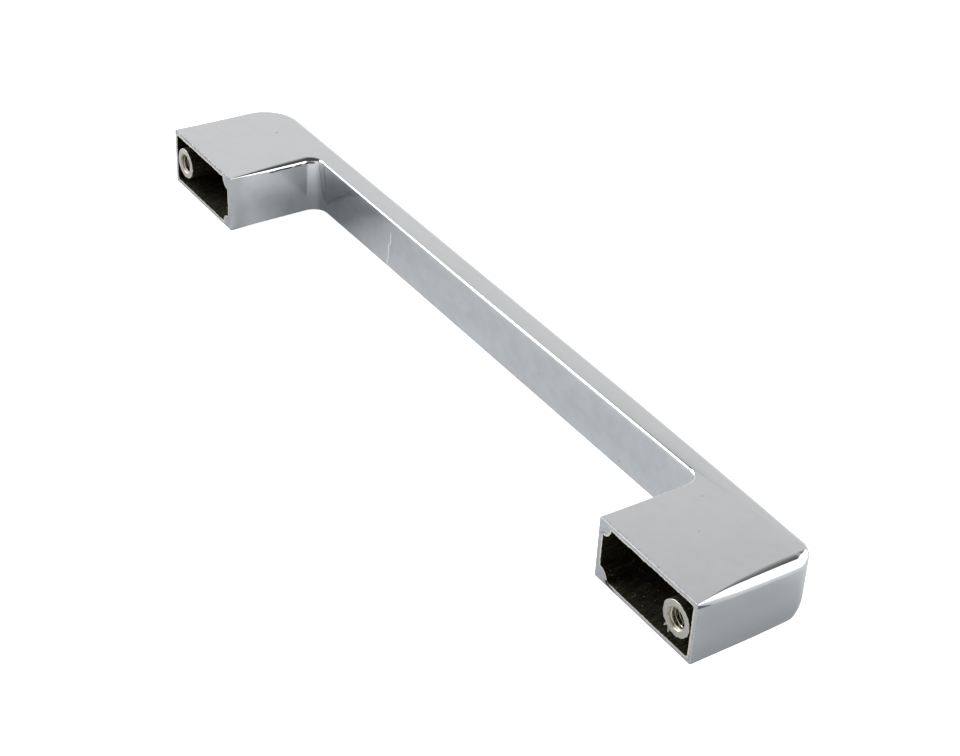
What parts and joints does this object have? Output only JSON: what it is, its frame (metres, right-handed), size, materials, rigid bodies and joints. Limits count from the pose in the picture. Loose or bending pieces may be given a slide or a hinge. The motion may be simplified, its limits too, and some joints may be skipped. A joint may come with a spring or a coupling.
{
  "type": "drawer handle",
  "caption": "Chromed bow handle for a drawer, cast in one piece, with hollow rectangular feet and a tapped screw boss in each.",
  "frame": {"origin": "in the mounting plane, midway between the two screw holes", "axes": "+Y points out of the feet's mouths, into the drawer front; X runs along the grip; Z across its height"},
  "size_m": [0.1684, 0.0236, 0.0114],
  "materials": {
    "chrome": "polished"
  },
  "bodies": {
    "root": {"handle": "chrome"}
  },
  "joints": []
}
